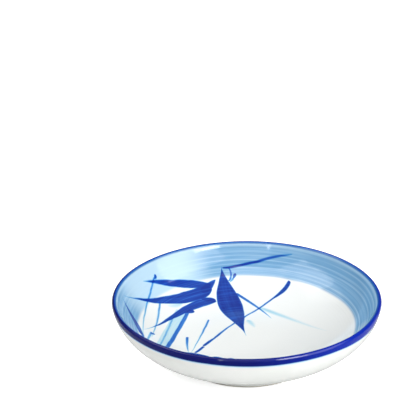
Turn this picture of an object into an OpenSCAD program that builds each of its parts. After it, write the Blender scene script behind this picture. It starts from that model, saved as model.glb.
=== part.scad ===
// Soy sauce dish: a small shallow porcelain dish on a turned foot ring, with a
// white glaze, a pale blue wash on the inner wall and a cobalt band over the lip.
// The origin is the middle of the foot at the table, and +Z is the dish's axis.
// Lengths are in millimetres and angles in degrees.

/* [Overall] */
// Diameter across the rim
dish_d = 100; // [85:1:125]
// Height from the table to the top of the lip
dish_h = 25; // [21:0.2:31]

/* [Foot ring] */
// Outer diameter of the bare foot ring at the table
foot_d = 49.8; // [40:0.2:58]
// Height of the foot ring, from the table to the underside of the body
foot_h = 3.9; // [3.2:0.1:5]
// Width of the foot ring at the table
foot_w = 3; // [2.4:0.1:4]
// Lean of the foot ring's two sides
foot_draft = 4; // [0:1:8]
// Rounding of the two edges beside the resting land
foot_edge_r = 0.5; // [0.3:0.1:0.8]
// Fillet between the outside of the foot and the wall
foot_fillet_r = 0.9; // [0.5:0.1:1.3]
// Height of the strip that is wiped bare above the table
bare_h = 0.9; // [0.8:0.1:1.3]

/* [Wall and well] */
// Thickness of the clay base, from the foot ring's seat to the floor of the well
base_t = 3.2; // [2.4:0.1:4]
// Diameter of the flat floor of the well, before the wall starts to rise
floor_d = 40; // [30:1:50]
// Radius of the rounded lip, half of its thickness
lip_r = 0.85; // [0.7:0.05:1.1]
// Slope of the outer wall where it leaves the foot
wall_foot_angle = 15.5; // [8:0.5:20]
// Slope of the outer wall where it meets the lip
wall_lip_angle = 81; // [70:1:86]
// Slope of the inner wall where it meets the lip
well_lip_angle = 68; // [60:1:76]

/* [Glaze coats] */
// Thickness of every fired coat
glaze_t = 0.3; // [0.2:0.05:0.4]
// Depth of the cobalt band outside, below the top of the lip
band_drop = 2.7; // [1.6:0.1:4]
// Width of the cobalt band inside, in plan, past the rounded lip
band_in_w = 0.2; // [0.2:0.05:2]
// Width of the blue wash in plan, from the rim to where the white well starts
wash_w = 9.3; // [6:0.1:14]
// Radius of the glaze that pools in the corner under the base
pool_r = 1; // [0.6:0.1:1.4]

/* [Hidden] */

// Facets of a full turn, and steps along each stretch of the section
turn_fn = 180;
wall_steps = 22;
band_steps = 4;
lip_steps = 14;
wash_steps = 10;
well_steps = 16;
corner_steps = 8;

// Handle lengths of the two wall curves, as shares of each curve's chord
wall_handle_shares = [0.34, 0.37];
well_handle_shares = [0.27, 0.5];

function unit(a) = [cos(a), sin(a)];
function left_of(v) = [-v[1], v[0]];
function arc(c, r, a0, a1, n) = [for (i = [0 : n]) c + r * unit(a0 + (a1 - a0) * i / n)];
function reversed(v) = [for (i = [1 : len(v)]) v[len(v) - i]];
function after_first(v) = [for (i = [1 : len(v) - 1]) v[i]];

// Cubic curve from p to q that starts along angle a and ends along angle b
function cubic(p, a, q, b, shares) = let (chord = norm(q - p))
    [p, p + chord * shares[0] * unit(a), q - chord * shares[1] * unit(b), q];
function on_cubic(k, t) = pow(1 - t, 3) * k[0] + 3 * pow(1 - t, 2) * t * k[1]
    + 3 * (1 - t) * pow(t, 2) * k[2] + pow(t, 3) * k[3];
function along_cubic(k, t) = let (v = pow(1 - t, 2) * (k[1] - k[0])
    + 2 * (1 - t) * t * (k[2] - k[1]) + pow(t, 2) * (k[3] - k[2])) v / norm(v);

// Points of a cubic between two parameters, sunk by d into the clay on its left
function stretch(k, t0, t1, d, n) = [for (i = [0 : n]) let (t = t0 + (t1 - t0) * i / n)
    on_cubic(k, t) + d * left_of(along_cubic(k, t))];

// Parameter at which coordinate c of a cubic reaches v, found by halving
function reach(k, c, v, lo = 0, hi = 1, n = 30) = let (m = (lo + hi) / 2)
    n == 0 ? m
    : (on_cubic(k, m)[c] < v) == (k[0][c] < k[3][c]) ? reach(k, c, v, m, hi, n - 1)
    : reach(k, c, v, lo, m, n - 1);

// The lip is one arc that meets both walls tangentially
lip_c = [dish_d / 2 - lip_r, dish_h - lip_r];
lip_start_a = wall_lip_angle - 90;
lip_end_a = well_lip_angle + 90;

// The foot's outer side leans outwards, and its fillet touches side and wall
foot_r = foot_d / 2;
side_out = [cos(foot_draft), -sin(foot_draft)];
wall_out = -left_of(unit(wall_foot_angle));
wall_z = foot_h + glaze_t * wall_out[1];
touch_z = wall_z + foot_fillet_r * (wall_out[1] - side_out[1]);
side_r = foot_r + glaze_t / cos(foot_draft) + touch_z * tan(foot_draft);
wall_start = [side_r + foot_fillet_r * (side_out[0] - wall_out[0]), wall_z];
fillet_c = wall_start + foot_fillet_r * wall_out;
bare_p = [foot_r + bare_h * tan(foot_draft), bare_h];

// The section's curves, which run with the clay on their left
floor_z = foot_h + base_t + glaze_t;
wall_k = cubic(wall_start, wall_foot_angle, lip_c + lip_r * unit(lip_start_a), wall_lip_angle,
    wall_handle_shares);
well_k = cubic(lip_c + lip_r * unit(lip_end_a), well_lip_angle + 180, [floor_d / 2, floor_z], 180,
    well_handle_shares);
band_low_t = reach(wall_k, 1, dish_h - band_drop);
band_in_t = reach(well_k, 0, well_k[0][0] - band_in_w);
wash_t = reach(well_k, 0, dish_d / 2 - wash_w);

// The outside of each coat at d = 0, and the clay under it at d = glaze_t
function foot_side(d) = concat([bare_p + (glaze_t - d) * side_out],
    arc(fillet_c, foot_fillet_r + d, 180 - foot_draft, 90 + wall_foot_angle, corner_steps));
function outer_wall(d) = stretch(wall_k, 0, band_low_t, d, wall_steps);
function rim(d) = concat(stretch(wall_k, band_low_t, 1, d, band_steps),
    after_first(arc(lip_c, lip_r - d, lip_start_a, lip_end_a, lip_steps)),
    after_first(stretch(well_k, 0, band_in_t, d, band_steps)));
function wash(d) = stretch(well_k, band_in_t, wash_t, d, wash_steps);
function well(d) = concat(stretch(well_k, wash_t, 1, d, well_steps), [[0, floor_z - d]]);

// The foot's inner side, which leans inwards as it rises to the base
foot_in_r = foot_r - foot_w;
in_out = [-side_out[0], side_out[1]];
in_bare_p = [foot_in_r - bare_h * tan(foot_draft), bare_h];
in_corner = [foot_in_r - foot_h * tan(foot_draft), foot_h];
ceiling_z = foot_h - glaze_t;
pool_z = ceiling_z - pool_r;
pool_wall_r = foot_in_r - (glaze_t + pool_r) / cos(foot_draft) - pool_z * tan(foot_draft);
pool_c = [pool_wall_r, pool_z];
edge_inset = foot_edge_r * (1 - sin(foot_draft)) / cos(foot_draft);

// Turns a closed section about the dish's axis
module turned(section) {
    rotate_extrude($fn = turn_fn) polygon(section);
}

// A coat between its own surface and the clay that it lies on
module coat(surface, clay) {
    turned(concat(surface, reversed(clay)));
}

// The thrown clay: a flat base, a wall that thins as it rises, and the core of the lip
module porcelain_body() {
    color("#f1efe8") turned(concat([[0, foot_h]], outer_wall(glaze_t),
        after_first(rim(glaze_t)), after_first(wash(glaze_t)), after_first(well(glaze_t))));
}

// The foot ring that the dish stands on, bare clay at its flat land
module foot_ring() {
    color("#e4ddcd") turned(concat(
        [in_corner],
        arc([foot_in_r + edge_inset, foot_edge_r], foot_edge_r, 180 + foot_draft, 270, corner_steps),
        arc([foot_r - edge_inset, foot_edge_r], foot_edge_r, 270, 360 - foot_draft, corner_steps),
        foot_side(glaze_t)));
}

// The cobalt band, which wraps the lip from the outside to the inside
module rim_band() {
    color("#14207d") coat(rim(0), rim(glaze_t));
}

// The pale blue wash on the inner wall
module wash_band() {
    color("#8dbbe0") coat(wash(0), wash(glaze_t));
}

// The white glaze on the floor of the well and the start of its wall
module well_glaze() {
    color("#f6f8f7") coat(well(0), well(glaze_t));
}

// The white glaze outside, from the band down to the bare strip of the foot
module outer_glaze() {
    color("#eceee9") coat(concat(foot_side(0), after_first(outer_wall(0))),
        concat(foot_side(glaze_t), after_first(outer_wall(glaze_t))));
}

// The white glaze under the base and down the inside of the foot ring
module foot_well_glaze() {
    color("#e3e6e2") coat(
        concat([[0, ceiling_z]], arc(pool_c, pool_r, 90, foot_draft, corner_steps),
            [in_bare_p + glaze_t * in_out]),
        [[0, foot_h], in_corner, in_bare_p]);
}

porcelain_body();
foot_ring();
rim_band();
wash_band();
well_glaze();
outer_glaze();
foot_well_glaze();
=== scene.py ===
"""The looks of the soy sauce dish: glazed porcelain coats with blue bands and brushed bamboo."""

import math

import bpy
from mathutils import Matrix, Vector


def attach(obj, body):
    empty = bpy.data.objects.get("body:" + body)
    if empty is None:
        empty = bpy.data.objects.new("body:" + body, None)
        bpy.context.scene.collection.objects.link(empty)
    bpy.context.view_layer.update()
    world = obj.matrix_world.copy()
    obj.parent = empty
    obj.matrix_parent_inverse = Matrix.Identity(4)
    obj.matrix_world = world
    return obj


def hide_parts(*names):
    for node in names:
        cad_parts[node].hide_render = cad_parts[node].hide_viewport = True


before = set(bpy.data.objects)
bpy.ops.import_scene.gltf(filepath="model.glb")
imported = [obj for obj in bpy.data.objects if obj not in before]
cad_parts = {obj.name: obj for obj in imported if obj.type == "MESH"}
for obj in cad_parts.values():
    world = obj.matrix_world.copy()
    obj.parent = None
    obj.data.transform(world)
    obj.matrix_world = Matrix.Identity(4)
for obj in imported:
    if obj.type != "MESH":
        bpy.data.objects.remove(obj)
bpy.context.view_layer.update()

MM = 0.001

# The dish's section, in millimetres and degrees, as the clay and its coats follow it
RIM_R = 50.0
TOP_Z = 25.0
FOOT_R = 24.9
FOOT_H = 3.9
FOOT_W = 3.0
FOOT_DRAFT = 4.0
FOOT_FILLET_R = 0.9
BARE_H = 0.9
BASE_T = 3.2
FLOOR_R = 20.0
LIP_R = 0.85
WALL_FOOT_ANGLE = 15.5
WALL_LIP_ANGLE = 81.0
WELL_LIP_ANGLE = 68.0
GLAZE_T = 0.3
BAND_DROP = 2.7
BAND_IN_W = 0.2
WASH_W = 9.3
POOL_R = 1.0
WALL_HANDLE_SHARES = (0.34, 0.37)
WELL_HANDLE_SHARES = (0.27, 0.5)

# How finely the meshes are cut: steps round the axis, spacing along the section, steps in a corner
TURNS = 240
FINE = 0.16
COARSE = 0.9
CORNER_STEPS = 12

# How exactly a curve is measured and searched
LENGTH_PIECES = 20
HALVINGS = 40

# A point this near to the axis lies on it, and a bend sharper than this angle stays sharp
ON_AXIS = 1e-6
SHARP_ANGLE = 40

# The angles between which the lip's glaze is wiped flat, the steps across it, and the fewest round it
LIP_FLAT = (9.0, 46.0)
LIP_FLAT_STEPS = 4
LIP_STEPS_MIN = 10

# The shallow rings that the thrower's comb left inside: height, waves, and the widths of their fades
RING_HEIGHT = 0.005
RING_PITCHES = (1.02, 1.63, 0.71)
RING_WEIGHTS = (1.0, 0.5, 0.3)
RING_PHASES = (0.0, 1.3, 2.6)
RING_FADE_CENTRE = 4
RING_FADE_LIP = 2


def unit(angle):
    return Vector((math.cos(math.radians(angle)), math.sin(math.radians(angle))))


def left_of(v):
    return Vector((-v.y, v.x))


def arc(centre, radius, a0, a1, steps):
    return [centre + radius * unit(a0 + (a1 - a0) * i / steps) for i in range(steps + 1)]


class Cubic:
    """A cubic curve from p to q that starts along angle a and ends along angle b."""

    def __init__(self, p, a, q, b, shares):
        chord = (q - p).length
        self.k = [p, p + chord * shares[0] * unit(a), q - chord * shares[1] * unit(b), q]

    def at(self, t):
        k = self.k
        s = 1 - t
        return s**3 * k[0] + 3 * s * s * t * k[1] + 3 * s * t * t * k[2] + t**3 * k[3]

    def along(self, t):
        k = self.k
        s = 1 - t
        return (s * s * (k[1] - k[0]) + 2 * s * t * (k[2] - k[1]) + t * t * (k[3] - k[2])).normalized()

    def reach(self, axis, value):
        """The parameter at which a coordinate reaches a value, found by halving."""
        lo = 0.0
        hi = 1.0
        rising = self.k[0][axis] < self.k[3][axis]
        for _ in range(HALVINGS):
            mid = (lo + hi) / 2
            if (self.at(mid)[axis] < value) == rising:
                lo = mid
            else:
                hi = mid
        return (lo + hi) / 2

    def stretch(self, t0, t1, sink, spacing):
        """Points between two parameters, sunk into the clay on the left."""
        marks = [self.at(t0 + (t1 - t0) * i / LENGTH_PIECES) for i in range(LENGTH_PIECES + 1)]
        length = sum((b - a).length for a, b in zip(marks, marks[1:]))
        steps = max(2, round(length / spacing))
        found = []
        for i in range(steps + 1):
            t = t0 + (t1 - t0) * i / steps
            found.append(self.at(t) + sink * left_of(self.along(t)))
        return found


# The lip is one arc that meets both walls tangentially
lip_c = Vector((RIM_R - LIP_R, TOP_Z - LIP_R))
lip_start = WALL_LIP_ANGLE - 90
lip_end = WELL_LIP_ANGLE + 90

# The outside of the foot leans outwards, and its fillet touches side and wall
lean = math.tan(math.radians(FOOT_DRAFT))
lean_cos = math.cos(math.radians(FOOT_DRAFT))
side_out = Vector((lean_cos, -math.sin(math.radians(FOOT_DRAFT))))
wall_out = -left_of(unit(WALL_FOOT_ANGLE))
wall_z = FOOT_H + GLAZE_T * wall_out.y
touch_z = wall_z + FOOT_FILLET_R * (wall_out.y - side_out.y)
side_r = FOOT_R + GLAZE_T / lean_cos + touch_z * lean
wall_start = Vector((side_r + FOOT_FILLET_R * (side_out.x - wall_out.x), wall_z))
fillet_c = wall_start + FOOT_FILLET_R * wall_out
bare_p = Vector((FOOT_R + BARE_H * lean, BARE_H))

floor_z = FOOT_H + BASE_T + GLAZE_T
wall_k = Cubic(wall_start, WALL_FOOT_ANGLE, lip_c + LIP_R * unit(lip_start), WALL_LIP_ANGLE,
               WALL_HANDLE_SHARES)
well_k = Cubic(lip_c + LIP_R * unit(lip_end), WELL_LIP_ANGLE + 180, Vector((FLOOR_R, floor_z)), 180,
               WELL_HANDLE_SHARES)
band_low_t = wall_k.reach(1, TOP_Z - BAND_DROP)
band_in_t = well_k.reach(0, well_k.k[0].x - BAND_IN_W)
wash_t = well_k.reach(0, RIM_R - WASH_W)
band_low_z = TOP_Z - BAND_DROP
band_in_r = well_k.at(band_in_t).x
wash_r = RIM_R - WASH_W

# The inside of the foot, which leans inwards as it rises to the base
foot_in_r = FOOT_R - FOOT_W
in_out = Vector((-side_out.x, side_out.y))
in_bare_p = Vector((foot_in_r - BARE_H * lean, BARE_H))
in_corner = Vector((foot_in_r - FOOT_H * lean, FOOT_H))
ceiling_z = FOOT_H - GLAZE_T
pool_z = ceiling_z - POOL_R
pool_c = Vector((foot_in_r - (GLAZE_T + POOL_R) / lean_cos - pool_z * lean, pool_z))


# Each coat's outside at sink 0, and the clay under it at sink GLAZE_T
def foot_side(sink):
    return [bare_p + (GLAZE_T - sink) * side_out] + arc(
        fillet_c, FOOT_FILLET_R + sink, 180 - FOOT_DRAFT, 90 + WALL_FOOT_ANGLE, CORNER_STEPS)


def outer_wall(sink, spacing):
    return wall_k.stretch(0, band_low_t, sink, spacing)


def lip(sink, spacing):
    """The rounded lip. Its glaze was wiped slightly flat where it faces up and outwards."""
    radius = LIP_R - sink
    steps = max(LIP_STEPS_MIN, round(math.radians(lip_end - lip_start) * LIP_R / spacing))
    if sink:
        return arc(lip_c, radius, lip_start, lip_end, steps)
    low, high = LIP_FLAT
    lower = arc(lip_c, radius, lip_start, low, steps // 3)
    upper = arc(lip_c, radius, high, lip_end, steps // 2)
    flat = [lower[-1].lerp(upper[0], i / LIP_FLAT_STEPS) for i in range(1, LIP_FLAT_STEPS)]
    return lower + flat + upper


def rim(sink, spacing):
    return (wall_k.stretch(band_low_t, 1, sink, spacing) + lip(sink, spacing)[1:]
            + well_k.stretch(0, band_in_t, sink, spacing)[1:])


def wash(sink, spacing):
    return well_k.stretch(band_in_t, wash_t, sink, spacing)


def well(sink, spacing):
    steps = max(4, round(FLOOR_R / spacing))
    flat = [Vector((FLOOR_R * (1 - i / steps), floor_z - sink)) for i in range(1, steps + 1)]
    return well_k.stretch(wash_t, 1, sink, spacing) + flat


def ringed(points):
    """The same points with the comb's shallow rings, which fade out under the lip and at the centre."""
    raised = []
    for i, p in enumerate(points):
        step = points[min(i + 1, len(points) - 1)] - points[max(i - 1, 0)]
        normal = -left_of(step.normalized())
        wave = sum(w * math.sin(2 * math.pi * p.x / pitch + phase)
                   for pitch, w, phase in zip(RING_PITCHES, RING_WEIGHTS, RING_PHASES))
        fade = min(1, p.x / RING_FADE_CENTRE) * min(1, max(0, (band_in_r - p.x) / RING_FADE_LIP))
        raised.append(p + normal * wave * RING_HEIGHT * fade)
    return raised


def revolved(name, section):
    """A closed mesh turned from a closed section, where a point on the axis becomes one vertex."""
    verts = []
    rings = []
    for p in section:
        if p.x < ON_AXIS:
            rings.append([len(verts)])
            verts.append((0, 0, p.y * MM))
            continue
        rings.append(list(range(len(verts), len(verts) + TURNS)))
        for j in range(TURNS):
            a = 2 * math.pi * j / TURNS
            verts.append((p.x * math.cos(a) * MM, p.x * math.sin(a) * MM, p.y * MM))
    faces = []
    for i, low in enumerate(rings):
        high = rings[(i + 1) % len(rings)]
        if len(low) == 1 and len(high) == 1:
            continue
        for j in range(TURNS):
            n = (j + 1) % TURNS
            if len(low) == 1:
                faces.append((low[0], high[n], high[j]))
            elif len(high) == 1:
                faces.append((low[j], low[n], high[0]))
            else:
                faces.append((low[j], low[n], high[n], high[j]))
    mesh = bpy.data.meshes.new(name)
    mesh.from_pydata(verts, [], faces)
    mesh.validate()
    mesh.shade_smooth()
    mesh.set_sharp_from_angle(angle=math.radians(SHARP_ANGLE))
    obj = bpy.data.objects.new(name, mesh)
    bpy.context.scene.collection.objects.link(obj)
    return obj


def coat(name, node, surface, clay, material):
    """One coat, closed between its surface and the clay, in place of its CAD node."""
    obj = revolved(name, surface + clay[::-1])
    obj.data.materials.append(material)
    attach(obj, "root")
    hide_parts(node)
    return obj


class Graph:
    """Builds one node tree. A plain number or tuple stands for an input that isn't linked."""

    def __init__(self, tree):
        self.tree = tree

    def put(self, socket, value):
        if isinstance(value, bpy.types.NodeSocket):
            self.tree.links.new(value, socket)
        else:
            socket.default_value = value

    def node(self, kind, **settings):
        made = self.tree.nodes.new(kind)
        for key, value in settings.items():
            setattr(made, key, value)
        return made

    def math(self, operation, *values, clamp=False):
        made = self.node("ShaderNodeMath", operation=operation, use_clamp=clamp)
        for socket, value in zip(made.inputs, values):
            self.put(socket, value)
        return made.outputs[0]

    def off(self, value, middle, factor):
        """How far a value lies from a middle, times a factor."""
        return self.math("MULTIPLY", self.math("SUBTRACT", value, middle), factor)

    def vector(self, operation, *values):
        made = self.node("ShaderNodeVectorMath", operation=operation)
        for socket, value in zip(made.inputs, values):
            self.put(socket, value)
        return made.outputs["Value" if operation in ("DOT_PRODUCT", "LENGTH") else "Vector"]

    def scaled(self, vector, factor):
        made = self.node("ShaderNodeVectorMath", operation="SCALE")
        self.put(made.inputs["Vector"], vector)
        self.put(made.inputs["Scale"], factor)
        return made.outputs["Vector"]

    def ease(self, value, low, high, out_low=0.0, out_high=1.0):
        """A smooth step of value between low and high."""
        made = self.node("ShaderNodeMapRange", interpolation_type="SMOOTHSTEP")
        for name, v in (("Value", value), ("From Min", low), ("From Max", high),
                        ("To Min", out_low), ("To Max", out_high)):
            self.put(made.inputs[name], v)
        return made.outputs["Result"]

    def noise(self, vector, detail, scale=1.0, roughness=0.5):
        made = self.node("ShaderNodeTexNoise")
        self.put(made.inputs["Vector"], vector)
        self.put(made.inputs["Scale"], scale)
        self.put(made.inputs["Detail"], detail)
        self.put(made.inputs["Roughness"], roughness)
        return made.outputs[0]

    def mix(self, factor, a, b, blend_type="MIX"):
        made = self.node("ShaderNodeMix", data_type="RGBA", blend_type=blend_type)
        self.put(made.inputs[0], factor)
        self.put(made.inputs[6], a)
        self.put(made.inputs[7], b)
        return made.outputs[2]

    def ramp(self, factor, stops):
        """A colour ramp from (place, colour) pairs."""
        made = self.node("ShaderNodeValToRGB")
        self.put(made.inputs[0], factor)
        elements = made.color_ramp.elements
        elements[0].position, elements[0].color = stops[0]
        elements[1].position, elements[1].color = stops[-1]
        for place, colour in stops[1:-1]:
            elements.new(place).color = colour
        return made.outputs[0]

    def combine(self, x, y, z):
        made = self.node("ShaderNodeCombineXYZ")
        for socket, value in zip(made.inputs, (x, y, z)):
            self.put(socket, value)
        return made.outputs[0]

    def split(self, vector):
        made = self.node("ShaderNodeSeparateXYZ")
        self.put(made.inputs[0], vector)
        return made.outputs[0], made.outputs[1], made.outputs[2]

    def group(self, tree, **values):
        made = self.node("ShaderNodeGroup", node_tree=tree)
        for name, value in values.items():
            self.put(made.inputs[name], value)
        return made.outputs


def new_group(name, inputs, outputs):
    """An empty node group, with its graph, its input sockets by name and its output node."""
    tree = bpy.data.node_groups.new(name, "ShaderNodeTree")
    for key, kind in inputs:
        tree.interface.new_socket(key, in_out="INPUT", socket_type="NodeSocket" + kind)
    for key, kind in outputs:
        tree.interface.new_socket(key, in_out="OUTPUT", socket_type="NodeSocket" + kind)
    g = Graph(tree)
    entry = g.node("NodeGroupInput")
    leave = g.node("NodeGroupOutput")
    return tree, g, {key: entry.outputs[key] for key, _ in inputs}, leave.inputs


def linear(r, g, b):
    """A colour as the photograph shows it, 0 to 255, turned to Blender's linear values."""
    values = []
    for v in (r, g, b):
        c = v / 255
        values.append(c / 12.92 if c <= 0.04045 else ((c + 0.055) / 1.055) ** 2.4)
    return (*values, 1.0)


def moved(span, by):
    """A span of two values, moved along by a distance."""
    return span[0] + by, span[1] + by


# The blues and whites
WHITE_GLAZE = linear(239, 241, 238)
UNDER_GLAZE = linear(234, 237, 233)
WASH_BLUE = linear(121, 170, 208)
WASH_DEEP = linear(110, 161, 201)
WASH_PALE = linear(195, 224, 241)
WASH_LINE = linear(88, 141, 190)
BLEED_BLUE = linear(196, 224, 246)
FRINGE_BLUE = linear(46, 108, 180)
MID_BLUE = linear(22, 70, 168)
NAVY = linear(1, 11, 100)
# The band's blue painted lighter, as painted light where the key lamp falls at the right
PAINTED_LIT_BLUE = linear(5, 38, 164)
BARE_CLAY = linear(214, 211, 202)
BURNT_CLAY = linear(190, 182, 168)
RAW_CLAY = linear(238, 235, 227)

# What brushed cobalt does to the colour under it, from no ink to full ink
INK_STOPS = (
    (0.0, (1.0, 1.0, 1.0, 1.0)),
    (0.14, (0.5, 0.79, 0.93, 1.0)),
    (0.32, (0.2, 0.5, 0.85, 1.0)),
    (0.52, (0.05, 0.23, 0.7, 1.0)),
    (0.74, (0.016, 0.085, 0.5, 1.0)),
    (1.0, (0.008, 0.036, 0.32, 1.0)),
)

# Nearly all of a noise lies in this span, and its middle is here
SPREAD = (0.3, 0.7)
MIDDLE = 0.5

# The factor that brings a stroke's bow to its full height half way along
ARCH = 4.0

# A stroke's edge, in widths of its softness, and its dry hairs: their scales, and where they start
STROKE_EDGE = (-0.4, 0.7)
HAIR_SCALES = (1.6, 0.8)
HAIR_WORN = (0.35, 0.75)


def stroke_group():
    """One brush stroke: how much ink lies at a place, from 0 to 1.

    The stroke runs from its start along a line that bows and sways to the left, its width rises and
    falls along the way, and its ink may fade towards the end.
    """
    tree, g, i, out = new_group(
        "brush_stroke",
        [("Place", "Vector"), ("Start", "Vector"), ("Along", "Vector"), ("Across", "Vector"),
         ("Length", "Float"), ("Bow", "Float"), ("Sway", "Float"), ("Width", "Float"),
         ("Rise", "Float"), ("Fall", "Float"), ("Soft", "Float"), ("Ink", "Float"),
         ("Fade", "Float"), ("Streak", "Float")],
        [("Ink", "Float")])
    away = g.vector("SUBTRACT", i["Place"], i["Start"])
    run = g.vector("DOT_PRODUCT", away, i["Along"])
    u = g.math("ADD", run, 0.0, clamp=True)
    rest = g.math("SUBTRACT", 1.0, u)
    lean = g.math("MULTIPLY", g.math("SUBTRACT", rest, u), i["Sway"])
    arch = g.math("MULTIPLY", g.math("MULTIPLY", u, rest), ARCH)
    bowed = g.math("MULTIPLY", arch, g.math("ADD", i["Bow"], lean))
    v = g.math("SUBTRACT", g.vector("DOT_PRODUCT", away, i["Across"]), bowed)
    swell = g.math("MULTIPLY", g.math("POWER", u, i["Rise"]), g.math("POWER", rest, i["Fall"]))
    beyond = g.math("MULTIPLY", g.math("ABSOLUTE", g.math("SUBTRACT", run, u)), i["Length"])
    inside = g.math("SUBTRACT", g.math("MULTIPLY", swell, i["Width"]), g.math("ABSOLUTE", v))
    inside = g.math("SUBTRACT", inside, beyond)
    edge = g.ease(g.math("DIVIDE", inside, i["Soft"]), *STROKE_EDGE)
    hair_u = g.math("MULTIPLY", u, HAIR_SCALES[0])
    hair_v = g.math("MULTIPLY", v, HAIR_SCALES[1])
    hairs = g.noise(g.combine(hair_u, hair_v, i["Width"]), 1.0)
    worn = g.ease(hairs, *HAIR_WORN)
    kept = g.math("SUBTRACT", 1.0, g.math("MULTIPLY", worn, i["Streak"]))
    left = g.math("MULTIPLY", g.math("SUBTRACT", 1.0, g.math("MULTIPLY", u, i["Fade"])), i["Ink"])
    g.put(out["Ink"], g.math("MULTIPLY", g.math("MULTIPLY", edge, left), kept))
    return tree


# Kinds of stroke: how the width rises and falls, how soft its edge is, how its ink fades and streaks
LEAF = {"rise": 1.35, "fall": 2.1, "soft": 0.45, "fade": -0.05, "streak": 0.14}
BLADE = {"rise": 0.5, "fall": 1.9, "soft": 0.45, "fade": 0.08, "streak": 0.16}
TONGUE = {"rise": 0.2, "fall": 1.35, "soft": 0.45, "fade": 0.1, "streak": 0.16}
FIN = {"rise": 0.3, "fall": 1.9, "soft": 0.45, "fade": 0.05, "streak": 0.16}
SWORD = {"rise": 0.5, "fall": 1.2, "soft": 0.45, "fade": 0.05, "streak": 0.14}
PETAL = {"rise": 0.8, "fall": 0.45, "soft": 0.45, "fade": -0.1, "streak": 0.12}
STEM = {"rise": 0.06, "fall": 0.06, "soft": 0.4, "fade": 0.0, "streak": 0.15}
TWIG = {"rise": 0.1, "fall": 0.6, "soft": 0.4, "fade": 0.45, "streak": 0.15}
DASH = {"rise": 0.25, "fall": 0.45, "soft": 0.4, "fade": 0.42, "streak": 0.12}
DART = {"rise": 0.9, "fall": 0.4, "soft": 0.4, "fade": 0.0, "streak": 0.15}
MIST = {"rise": 0.3, "fall": 0.6, "soft": 1.4, "fade": 0.5, "streak": 0.2}
WISP = {"rise": 0.35, "fall": 1.2, "soft": 1.6, "fade": 0.6, "streak": 0.2}

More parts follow.
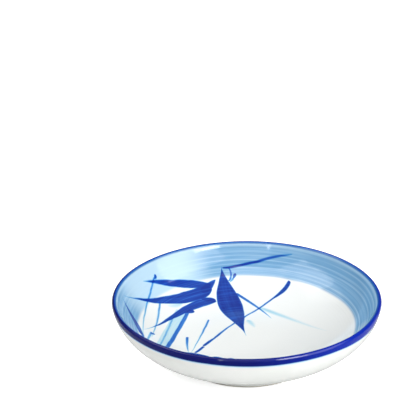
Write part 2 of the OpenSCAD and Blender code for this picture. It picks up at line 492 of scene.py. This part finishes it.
# The bamboo in the well, in millimetres on the plan: kind, start, end, bow, sway, half width, ink
BAMBOO = (
    # The leaves that hang from the top
    (LEAF, (-10, 42.5), (-0.2, 1.8), -0.15, -0.5, 4.75, 1.0),
    (SWORD, (-13.8, 35.7), (-39.8, 23), -2.1, 0.5, 1.5, 0.92),
    (DART, (-12.2, 38), (-17.5, 31.5), 0.0, 0.0, 1.6, 0.9),
    (BLADE, (-13.8, 34.4), (-46, 8), -1.3, 2.0, 2.6, 0.97),
    (FIN, (-12.4, 28.8), (-38.6, -3), -2.9, -2.0, 2.0, 0.96),
    (PETAL, (-18, 28.4), (-12, 28.4), 0.0, 0.0, 1.35, 0.9),
    (PETAL, (-23.2, 18.5), (-20.3, 20.6), 0.0, 0.0, 1.05, 0.85),
    # The tuft of twigs above them
    (DASH, (-9.6, 42.2), (18.2, 43.5), 1.7, -0.55, 0.42, 0.96),
    (STEM, (-7, 42.6), (-7, 38.2), 0.9, 0.0, 0.42, 0.6),
    (PETAL, (-5.4, 39.2), (-4.3, 41.2), 0.0, 0.0, 0.6, 0.76),
    (TWIG, (-5.2, 39.4), (-6.8, 37.6), 0.0, 0.0, 0.4, 0.5),
    # The long stem with its joint and its knob, and the arc that crosses it
    (STEM, (-18.9, -12), (-15.9, -6.9), 0.0, 0.0, 0.6, 0.8),
    (TONGUE, (-16, -6.6), (-7, 7.6), 0.0, 0.0, 0.68, 0.84),
    (STEM, (-12, 0.2), (16.2, 35.2), 1.9, -0.2, 0.44, 0.64),
    (TONGUE, (17, 36.3), (7, 27), 0.6, 0.6, 0.9, 0.92),
    (TWIG, (-4, 33), (9.6, 15.8), 1.4, 0.0, 0.62, 0.74),
    # The culm and the thin stems beside it
    (TWIG, (-14.5, 14.8), (-20.5, -12), 0.3, 0.0, 0.44, 0.62),
    (TWIG, (-22.2, 0.4), (-21.4, -12), -0.4, 0.0, 0.55, 0.66),
    (STEM, (-22.7, 18.8), (-30.4, -16), -0.3, 0.0, 0.82, 0.63),
    (STEM, (-25.2, 19), (-32, -14.5), -0.3, 0.0, 2.3, 0.13),
    (STEM, (-27.8, 16), (-32.6, -14), 0.0, 0.0, 0.38, 0.3),
    (PETAL, (-35.8, 27.4), (-35.2, 29.2), 0.0, 0.0, 0.5, 0.74),
    (TWIG, (-35.9, 27.8), (-38, -10), -1.6, 0.0, 0.34, 0.52),
    (DART, (-38.5, -6), (-38.2, -10.5), 0.0, 0.0, 0.55, 0.6),
    (TWIG, (-33.4, 20), (-35.2, -6), 0.35, 0.0, 0.42, 0.52),
    (TWIG, (-35.4, -1.8), (-36.8, -19), -0.4, 0.0, 0.46, 0.5),
    (PETAL, (-35.9, -3.5), (-34.2, -2.3), 0.0, 0.0, 0.6, 0.56),
    # The leaf at the far left, and those at the foot
    (PETAL, (-46.3, 5.4), (-38.7, -8.8), 1.1, 0.0, 1.0, 0.86),
    (LEAF, (-13.6, -14.4), (-36.4, -18), -0.8, 0.0, 3.1, 0.96),
    (TWIG, (-33, -16), (-37.6, -20.4), 0.2, 0.0, 0.5, 0.7),
    (SWORD, (-13, -15.4), (-14.2, -44.6), 4.2, 0.0, 3.9, 0.95),
    (SWORD, (-7, -16.2), (9, -40.4), -1.8, 0.0, 3.9, 0.95),
    (SWORD, (-13.4, -15.6), (-3, -23), 0.4, 0.0, 2.2, 0.9),
    # The root strokes and the drips under the leaf
    (TWIG, (-21.8, -18), (-24, -26), 0.2, 0.0, 1.0, 0.78),
    (DART, (-33.4, -16.6), (-33, -34), -0.4, 0.0, 1.3, 0.86),
    (PETAL, (-36.4, -22), (-35.4, -29), 0.2, 0.0, 0.9, 0.84),
    (TWIG, (-31.6, -17.4), (-29.6, -24), 0.2, 0.0, 0.7, 0.8),
    (PETAL, (-31.2, -22), (-31.2, -35), 0.3, 0.0, 1.1, 0.86),
    (PETAL, (-25.2, -27.4), (-26.8, -39.2), -0.4, 0.0, 1.6, 0.88),
    # The stroke at the right with its fork, and the pale strokes
    (PETAL, (6.5, -26.3), (40.5, -24.8), 0.9, 0.0, 0.95, 0.85),
    (TWIG, (36, -25.2), (24, -28.2), 0.3, 0.0, 0.6, 0.34),
    (WISP, (4.8, 24.8), (30, 3.4), 0.6, 0.0, 1.0, 0.22),
    (MIST, (0.4, 14.6), (3.2, 8.4), 0.2, 0.0, 1.0, 0.18),
    (MIST, (-25.2, 24), (-30.4, 19.4), 0.6, 0.0, 1.2, 0.16),
    (MIST, (5.5, -32.5), (13, -39.5), 0.3, 0.0, 1.7, 0.17),
    (DART, (11.5, -38.4), (15.6, -40.6), 0.0, 0.0, 1.1, 0.3),
    (MIST, (-3.8, -33.5), (-5, -43), 0.2, 0.0, 1.3, 0.2),
    (DART, (-4, -37.5), (-5.6, -42.6), 0.0, 0.0, 1.0, 0.2),
)

# How the brush wanders from its line: how quickly, and how far in millimetres
WANDER_SCALE = 0.16
WANDER_BY = 0.5


def bamboo_group(stroke):
    """All the strokes of the bamboo, laid over each other like thin coats of ink."""
    tree, g, i, out = new_group("bamboo", [("Place", "Vector")], [("Ink", "Float")])
    x, y = g.split(i["Place"])[:2]
    wander = g.noise(g.scaled(i["Place"], WANDER_SCALE), 1.0)
    shake = g.off(wander, MIDDLE, WANDER_BY)
    flat = g.combine(g.math("ADD", x, shake), g.math("SUBTRACT", y, shake), 0.0)
    clear = None
    for shape, start_xy, end_xy, bow, sway, width, ink in BAMBOO:
        start = Vector((*start_xy, 0))
        run = Vector((*end_xy, 0)) - start
        across = Vector((-run.y, run.x, 0)).normalized()
        rise = shape["rise"]
        fall = shape["fall"]
        peak = (rise / (rise + fall)) ** rise * (fall / (rise + fall)) ** fall
        laid = g.group(
            stroke, Place=flat, Start=start, Along=run / run.length_squared, Across=across,
            Length=run.length, Bow=bow, Sway=sway, Width=width / peak, Rise=rise, Fall=fall,
            Soft=shape["soft"], Ink=ink, Fade=shape["fade"], Streak=shape["streak"])["Ink"]
        bare = g.math("SUBTRACT", 1.0, laid)
        clear = bare if clear is None else g.math("MULTIPLY", clear, bare)
    g.put(out["Ink"], g.math("SUBTRACT", 1.0, clear))
    return tree


# The even lines that run round in the wash: the radius of a pale one, and their spacing
LINE_R = 42.1
LINE_PITCH = 1.02

# Painted light: the side towards which the wash is painted paler, where the key lamp lights it and
# shines in it
PAINTED_LIGHT_SIDE = Vector((-0.78, 0.63, 0))

# The wash's inner edge, from its radius, and how far that edge and the lines wander
WASH_EDGE = (-0.6, 0.5)
WASH_WANDER = 1.0
LINE_WANDER = 0.4

# The band's edges wander less, by this share of the wash's
BAND_WANDER = 0.25

# How quickly the edges wander round the dish, inside and outside
SLOW_INSIDE = 1.3
SLOW_OUTSIDE = 2.2

# Two patterns of rings: how quickly they change round the dish, and with the radius
RING_SCALES = (0.7, 0.8)
RING_ROUGHNESS = 0.6
FINE_SCALES = (1.4, 1.9)

# How lines and rings turn into paint: where each starts and ends, and how much it does there
LINES_COME = (0.3, 0.65, 0.45, 1.0)
PALE_LINES = (0.3, 1.0, 0.0, 0.34)
PALE_RINGS = (0.5, 0.66, 0.0, 0.2)
DARK_LINES = (0.0, -0.9, 0.0, 0.16)
# Painted light: where the paler wash of the lit side starts and ends, and how much it does there
PAINTED_LIGHT_SPAN = (0.82, 0.97, 0.0, 0.9)
INK_RINGS = (0.48, 0.66, 0.0, 0.16)

# Painted light: the band is painted a brighter blue at the right, where the key lamp falls, over this
# stretch of x
PAINTED_LIGHT_X = (-5, 38)

# Where the blues of the band over the lip start and end, as radii, and how strong the pale bleed is
BLEED_R = (47.7, 48.0)
BLEED_AMOUNT = 0.4
FRINGE_R = (48.15, 48.5)
MID_R = (48.5, 48.95)
NAVY_R = (49.2, 49.6)


def ring_noise(g, ax, ay, r, scales, detail, roughness=0.5):
    """Noise that runs round the dish in rings, from a direction on the plan and a radius."""
    place = g.combine(g.math("MULTIPLY", ax, scales[0]), g.math("MULTIPLY", ay, scales[0]),
                      g.math("MULTIPLY", r, scales[1]))
    return g.noise(place, detail, roughness=roughness)


def inside_group(name, bamboo):
    """The colour of the glaze inside: white well and blue wash, under the bamboo or up to the band.

    The well takes it with the bamboo. The lip takes it without, and has the band's blues instead.
    """
    tree, g, i, out = new_group(name, [("Place", "Vector")], [("Color", "Color")])
    x, y = g.split(i["Place"])[:2]
    r = g.vector("LENGTH", g.combine(x, y, 0.0))
    around = g.vector("NORMALIZE", g.combine(x, y, 0.0))
    slow = g.noise(around, 2.0, SLOW_INSIDE)

    # Fine rings of the brush and comb, which run round the dish and come and go along the way
    ax, ay = g.split(around)[:2]
    rings = ring_noise(g, ax, ay, r, RING_SCALES, 2.0, RING_ROUGHNESS)
    waver = g.math("ADD", g.off(slow, MIDDLE, LINE_WANDER), r)
    sweep = g.off(waver, LINE_R, 2 * math.pi / LINE_PITCH)
    lines = g.math("MULTIPLY", g.math("COSINE", sweep), g.ease(rings, *LINES_COME))
    fine = ring_noise(g, ax, ay, r, FINE_SCALES, 1.0)

    edge_shift = g.off(slow, MIDDLE, WASH_WANDER)
    wash_amount = g.ease(g.math("ADD", r, edge_shift), *moved(WASH_EDGE, wash_r))
    wash = g.mix(g.ease(rings, *SPREAD), WASH_BLUE, WASH_DEEP)
    wash = g.mix(g.ease(lines, *PALE_LINES), wash, WASH_PALE)
    wash = g.mix(g.ease(fine, *PALE_RINGS), wash, WASH_PALE)
    wash = g.mix(g.ease(lines, *DARK_LINES), wash, WASH_LINE)
    # Painted light: the wash is painted paler on the side that faces the key lamp
    painted_light = g.ease(g.vector("DOT_PRODUCT", around, PAINTED_LIGHT_SIDE), *PAINTED_LIGHT_SPAN)
    wash = g.mix(painted_light, wash, WASH_PALE)
    base = g.mix(wash_amount, WHITE_GLAZE, wash)

    # The ink thins where the rings stand proud
    if bamboo:
        ink = g.group(bamboo, Place=i["Place"])["Ink"]
        thin = g.ease(fine, *INK_RINGS)
        ink = g.math("MULTIPLY", ink, g.math("SUBTRACT", 1.0, thin), clamp=True)
        base = g.mix(1.0, base, g.ramp(ink, INK_STOPS), "MULTIPLY")

    # A pale line lies just inside the band, whose own inner edge is a lighter blue
    shifted = g.math("ADD", r, g.math("MULTIPLY", edge_shift, BAND_WANDER))
    base = g.mix(g.ease(shifted, *BLEED_R, 0.0, BLEED_AMOUNT), base, WASH_PALE)
    if not bamboo:
        base = g.mix(g.ease(shifted, *FRINGE_R), base, FRINGE_BLUE)
        base = g.mix(g.ease(shifted, *MID_R), base, MID_BLUE)
        # Painted light: the navy turns to a lighter blue towards the right
        base = g.mix(g.ease(shifted, *NAVY_R), base, g.mix(g.ease(x, *PAINTED_LIGHT_X), NAVY, PAINTED_LIT_BLUE))
    g.put(out["Color"], base)
    return tree


# The band hangs lower at the right: by how much, and over which stretch of x
BAND_SAG = 0.8
BAND_SAG_X = (26, 49)

# Where the band's blues start and end outside, from its lower edge upwards, and how far that wanders
BLEED_Z = (-0.85, -0.2)
FRINGE_Z = (-0.25, 0.1)
BAND_Z = (0.0, 0.35)
LOW_WANDER = 0.4

# The soft clouds in the white outside: how quickly they change, and where they start and end
CLOUD_SCALE = 0.06
CLOUD_SPAN = (0.35, 0.65)


def outside_group():
    """The colour of the glaze outside: white, with the band's lower edge and its bleed."""
    tree, g, i, out = new_group("outside_paint", [("Place", "Vector")], [("Color", "Color")])
    x, y, z = g.split(i["Place"])
    around = g.vector("NORMALIZE", g.combine(x, y, 0.0))
    slow = g.noise(around, 3.0, SLOW_OUTSIDE)
    sag = g.ease(x, *BAND_SAG_X, 0.0, BAND_SAG)
    edge = g.math("ADD", g.math("ADD", z, sag), g.off(slow, MIDDLE, LOW_WANDER))
    cloud = g.noise(g.scaled(i["Place"], CLOUD_SCALE), 3.0)
    base = g.mix(g.ease(cloud, *CLOUD_SPAN), WHITE_GLAZE, UNDER_GLAZE)
    base = g.mix(g.ease(edge, *moved(BLEED_Z, band_low_z)), base, BLEED_BLUE)
    base = g.mix(g.ease(edge, *moved(FRINGE_Z, band_low_z)), base, FRINGE_BLUE)
    # Painted light: the navy turns to a lighter blue towards the right
    band = g.mix(g.ease(x, *PAINTED_LIGHT_X), NAVY, PAINTED_LIT_BLUE)
    base = g.mix(g.ease(edge, *moved(BAND_Z, band_low_z)), base, band)
    g.put(out["Color"], base)
    return tree


def new_material(name):
    """A material with an empty tree, its graph, its glossy shader and the place in millimetres."""
    material = bpy.data.materials.new(name)
    material.use_nodes = True
    tree = material.node_tree
    tree.nodes.clear()
    g = Graph(tree)
    shader = g.node("ShaderNodeBsdfPrincipled")
    leave = g.node("ShaderNodeOutputMaterial")
    tree.links.new(shader.outputs[0], leave.inputs[0])
    place = g.scaled(g.node("ShaderNodeTexCoord").outputs["Object"], 1 / MM)
    return material, g, shader, place


# The glaze's finish: roughness and its scale, refraction, shine, and the scale and size of its waves
GLAZE_ROUGH = (0.05, 0.11)
GLOSS_SCALE = 0.25
GLAZE_IOR = 1.5
GLAZE_GLEAM = 0.5
WAVE_SCALE = 0.45
WAVE_STRENGTH = 0.12
WAVE_HEIGHT = 0.02

# The shine of the lip and of the band's outer side, and where inside turns to outside over the lip
LIP_GLEAM = 0.38
BAND_GLEAM = 0.08
LIP_TOP_SPAN = (-0.1, 0.1)

# The glaze under the base: the scales of its clouds and pinholes, and where a pinhole starts and ends
UNDER_SCALE = 0.09
PINHOLE_SCALE = 1.6
PINHOLE_SPAN = (0.78, 0.82)

# Bare clay: roughness, the scales of its grit and clouds, the grit's size, and how it's toasted
CLAY_ROUGH = (0.7, 0.9)
GRIT_SCALE = 3.0
CLAY_CLOUD_SCALE = 0.3
GRIT_STRENGTH = 0.5
GRIT_HEIGHT = 0.03
TOAST_WIDTH = 0.5
CLAY_CLOUD_AMOUNT = 0.35
TOAST_AMOUNT = 0.6


def relief(g, shader, strength, height):
    """Gives a shader a bump of some height in millimetres, and returns the socket for its pattern."""
    bump = g.node("ShaderNodeBump")
    bump.inputs["Strength"].default_value = strength
    bump.inputs["Distance"].default_value = height * MM
    g.put(shader.inputs["Normal"], bump.outputs[0])
    return bump.inputs["Height"]


def glaze_finish(g, shader, place, gleam=GLAZE_GLEAM):
    """A glossy fired surface: nearly even, with the slight waves that a melted glaze sets with."""
    cloud = g.noise(g.scaled(place, GLOSS_SCALE), 2.0)
    g.put(shader.inputs["Roughness"], g.ease(cloud, *SPREAD, *GLAZE_ROUGH))
    shader.inputs["IOR"].default_value = GLAZE_IOR
    shader.inputs["Specular IOR Level"].default_value = gleam
    pattern = relief(g, shader, WAVE_STRENGTH, WAVE_HEIGHT)
    g.put(pattern, g.noise(g.scaled(place, WAVE_SCALE), 1.0))


def painted_material(name, paint):
    """A glaze in the colour of one paint group."""
    material, g, shader, place = new_material(name)
    g.put(shader.inputs["Base Color"], g.group(paint, Place=place)["Color"])
    glaze_finish(g, shader, place)
    return material


def rim_material(name, inside, outside, gleam):
    """The band over the lip: the outside's colour beyond the middle of the lip, the inside's within."""
    material, g, shader, place = new_material(name)
    x, y = g.split(place)[:2]
    r = g.vector("LENGTH", g.combine(x, y, 0.0))
    over = g.ease(r, *moved(LIP_TOP_SPAN, lip_c.x))
    inner = g.group(inside, Place=place)["Color"]
    outer = g.group(outside, Place=place)["Color"]
    g.put(shader.inputs["Base Color"], g.mix(over, inner, outer))
    glaze_finish(g, shader, place, gleam)
    return material


def under_material():
    """The glaze under the base: thin and slightly grey, with a few pinholes."""
    material, g, shader, place = new_material("glaze_under")
    cloud = g.noise(g.scaled(place, UNDER_SCALE), 4.0)
    base = g.mix(g.ease(cloud, *SPREAD), WHITE_GLAZE, UNDER_GLAZE)
    speck = g.ease(g.noise(g.scaled(place, PINHOLE_SCALE), 0.0), *PINHOLE_SPAN)
    g.put(shader.inputs["Base Color"], g.mix(speck, base, BARE_CLAY))
    glaze_finish(g, shader, place)
    return material


def clay_material(name, tone, toast, toast_z):
    """Bare clay: matt and finely gritty, toasted a little where the glaze ends."""
    material, g, shader, place = new_material(name)
    z = g.split(place)[2]
    grit = g.noise(g.scaled(place, GRIT_SCALE), 3.0)
    cloud = g.noise(g.scaled(place, CLAY_CLOUD_SCALE), 3.0)
    base = g.mix(g.ease(cloud, *SPREAD, 0.0, CLAY_CLOUD_AMOUNT), tone, toast)
    base = g.mix(g.ease(z, toast_z - TOAST_WIDTH, toast_z, 0.0, TOAST_AMOUNT), base, toast)
    g.put(shader.inputs["Base Color"], base)
    g.put(shader.inputs["Roughness"], g.ease(grit, *SPREAD, *CLAY_ROUGH))
    g.put(relief(g, shader, GRIT_STRENGTH, GRIT_HEIGHT), grit)
    return material


def dress_cad(node, material):
    """Gives a CAD node that keeps its own mesh a material."""
    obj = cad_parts[node]
    obj.data.materials.clear()
    obj.data.materials.append(material)


# The photograph's camera: its height angle, its distance and scale, and where the dish's middle lies
VIEW_DOWN = 26.7
VIEW_DISTANCE = 600.0
PIXELS_PER_MM = 2.678
PIVOT_PIXEL = (246.34, 307.76)
PIVOT_Z = 20.0
FRAME_PIXELS = 400
SENSOR = 36.0
CLIP_NEAR = 0.01
CLIP_FAR = 20


def make_camera():
    down = math.radians(VIEW_DOWN)
    forward = Vector((0, math.cos(down), -math.sin(down)))
    right = Vector((1, 0, 0))
    up = right.cross(forward)
    focal = PIXELS_PER_MM * VIEW_DISTANCE
    middle = FRAME_PIXELS / 2
    pan = math.atan((PIVOT_PIXEL[0] - middle) / focal)
    tilt = math.atan((PIVOT_PIXEL[1] - middle) / math.hypot(focal, PIVOT_PIXEL[0] - middle))
    place = Vector((0, 0, PIVOT_Z)) - forward * VIEW_DISTANCE
    right, forward = (right * math.cos(pan) + forward * math.sin(pan),
                      forward * math.cos(pan) - right * math.sin(pan))
    up, forward = (up * math.cos(tilt) - forward * math.sin(tilt),
                   forward * math.cos(tilt) + up * math.sin(tilt))
    data = bpy.data.cameras.new("camera")
    data.sensor_width = SENSOR
    data.lens = focal / FRAME_PIXELS * SENSOR
    data.clip_start = CLIP_NEAR
    data.clip_end = CLIP_FAR
    camera = bpy.data.objects.new("camera", data)
    turn = Matrix((right, up, -forward)).transposed().to_4x4()
    camera.matrix_world = Matrix.Translation(place * MM) @ turn
    bpy.context.scene.collection.objects.link(camera)
    bpy.context.scene.camera = camera


# The lamps, all at one distance in metres: name, azimuth, height angle, size and glow
LAMP_DISTANCE = 1.2
SOFTBOXES = (
    ("key", 119, 34, (1.3, 0.8), 2.9),
    ("core", 143, 24, (0.5, 0.13), 8.0),
    ("core_middle", 146, 24, (0.34, 0.06), 6.0),
    ("fill", 245, 38, (2.4, 1.1), 0.12),
    ("high_left", 262, 50, (0.9, 0.6), 2.7),
    ("back_left", 285, 47, (1.0, 0.6), 1.15),
    ("behind_camera", 180, 32, (0.86, 0.5), 0.6),
    ("spark", 201, 26, (0.06, 0.18), 6.5),
    ("overhead", 200, 74, (0.8, 0.5), 2.3),
    ("low_right", 128, 9, (0.8, 0.25), 3.0),
)


def softbox(name, azimuth, height, size, glow):
    """A flat soft lamp that faces the dish from a direction, and glows as brightly everywhere.

    The azimuth runs clockwise from behind the dish, as seen from above, and 180 is the camera's side.
    """
    data = bpy.data.lights.new(name, "AREA")
    data.shape = "RECTANGLE"
    data.size, data.size_y = size
    data.energy = glow * math.pi * size[0] * size[1]
    lamp = bpy.data.objects.new(name, data)
    turn = math.radians(azimuth)
    rise = math.radians(height)
    away = Vector((math.sin(turn) * math.cos(rise), math.cos(turn) * math.cos(rise), math.sin(rise)))
    lamp.location = away * LAMP_DISTANCE
    lamp.rotation_mode = "QUATERNION"
    lamp.rotation_quaternion = (-away).to_track_quat("-Z", "Y")
    bpy.context.scene.collection.objects.link(lamp)


# The sky's brightness: low down and overhead, and the height where it starts to rise
WORLD_LOW = 0.08
WORLD_HIGH = 0.36
SKY_FROM = 0.35

# The floor: half its width in metres, its two tones, and how much it's lifted for the camera
FLOOR_HALF = 6.0
FLOOR_TONES = ((0.8, 0.8, 0.8, 1), (0.84, 0.84, 0.84, 1))
FLOOR_CLOUD_SCALE = 2.0
FLOOR_LIFT = 0.67


def make_world():
    """A soft sky that brightens upwards, which the camera sees as white."""
    world = bpy.data.worlds.new("studio")
    bpy.context.scene.world = world
    world.use_nodes = True
    g = Graph(world.node_tree)
    shade = world.node_tree.nodes["Background"]
    path = g.node("ShaderNodeLightPath")
    upwards = g.split(g.node("ShaderNodeTexCoord").outputs["Generated"])[2]
    sky = g.ease(upwards, SKY_FROM, 1.0, WORLD_LOW, WORLD_HIGH)
    g.put(shade.inputs["Strength"], g.math("MAXIMUM", path.outputs["Is Camera Ray"], sky))
    shade.inputs["Color"].default_value = (1, 1, 1, 1)


def make_floor():
    """A wide pale floor, lifted to white for the camera, which still takes the dish's shadow."""
    turns = ((-1, -1), (1, -1), (1, 1), (-1, 1))
    corners = [(x * FLOOR_HALF, y * FLOOR_HALF, 0) for x, y in turns]
    mesh = bpy.data.meshes.new("floor")
    mesh.from_pydata(corners, [], [(0, 1, 2, 3)])
    floor = bpy.data.objects.new("floor", mesh)
    bpy.context.scene.collection.objects.link(floor)
    material = bpy.data.materials.new("floor")
    material.use_nodes = True
    tree = material.node_tree
    tree.nodes.clear()
    g = Graph(tree)
    matt = g.node("ShaderNodeBsdfDiffuse")
    cloud = g.noise(g.node("ShaderNodeTexCoord").outputs["Object"], 2.0, FLOOR_CLOUD_SCALE)
    g.put(matt.inputs["Color"], g.mix(cloud, *FLOOR_TONES))
    glow = g.node("ShaderNodeEmission")
    path = g.node("ShaderNodeLightPath")
    seen = g.math("MAXIMUM", path.outputs["Is Camera Ray"], path.outputs["Is Transmission Ray"])
    g.put(glow.inputs["Strength"], g.math("MULTIPLY", seen, FLOOR_LIFT))
    both = g.node("ShaderNodeAddShader")
    tree.links.new(matt.outputs[0], both.inputs[0])
    tree.links.new(glow.outputs[0], both.inputs[1])
    tree.links.new(both.outputs[0], g.node("ShaderNodeOutputMaterial").inputs[0])
    mesh.materials.append(material)


make_camera()
make_world()
make_floor()
for lamp in SOFTBOXES:
    softbox(*lamp)

stroke = stroke_group()
bamboo = bamboo_group(stroke)
inside = inside_group("inside_paint", bamboo)
lip_inside = inside_group("lip_paint", None)
outside = outside_group()
inside_glaze = painted_material("glaze_inside", inside)

coat("well_coat", "well_glaze", ringed(well(0, FINE)), well(GLAZE_T, COARSE), inside_glaze)
coat("wash_coat", "wash_band", ringed(wash(0, FINE)), wash(GLAZE_T, COARSE), inside_glaze)
rim_coat = coat("rim_coat", "rim_band", rim(0, FINE), rim(GLAZE_T, COARSE / 3),
                rim_material("glaze_lip", lip_inside, outside, LIP_GLEAM))
rim_coat.data.materials.append(rim_material("glaze_band", lip_inside, outside, BAND_GLEAM))

# The band's outer side, below and outside the middle of the lip, takes the second material
for face in rim_coat.data.polygons:
    if face.center.z < lip_c.y * MM and face.center.xy.length > lip_c.x * MM:
        face.material_index = 1

coat("outer_coat", "outer_glaze",
     foot_side(0) + outer_wall(0, FINE * 2)[1:], foot_side(GLAZE_T) + outer_wall(GLAZE_T, COARSE)[1:],
     painted_material("glaze_outside", outside))
pool = arc(pool_c, POOL_R, 90, FOOT_DRAFT, CORNER_STEPS)
coat("foot_well_coat", "foot_well_glaze",
     [Vector((0, ceiling_z))] + pool + [in_bare_p + GLAZE_T * in_out],
     [Vector((0, FOOT_H)), in_corner, in_bare_p], under_material())
dress_cad("foot_ring", clay_material("bare_clay", BARE_CLAY, BURNT_CLAY, BARE_H))
dress_cad("porcelain_body", clay_material("raw_clay", RAW_CLAY, BARE_CLAY, FOOT_H))

bpy.context.scene.view_settings.view_transform = "Standard"
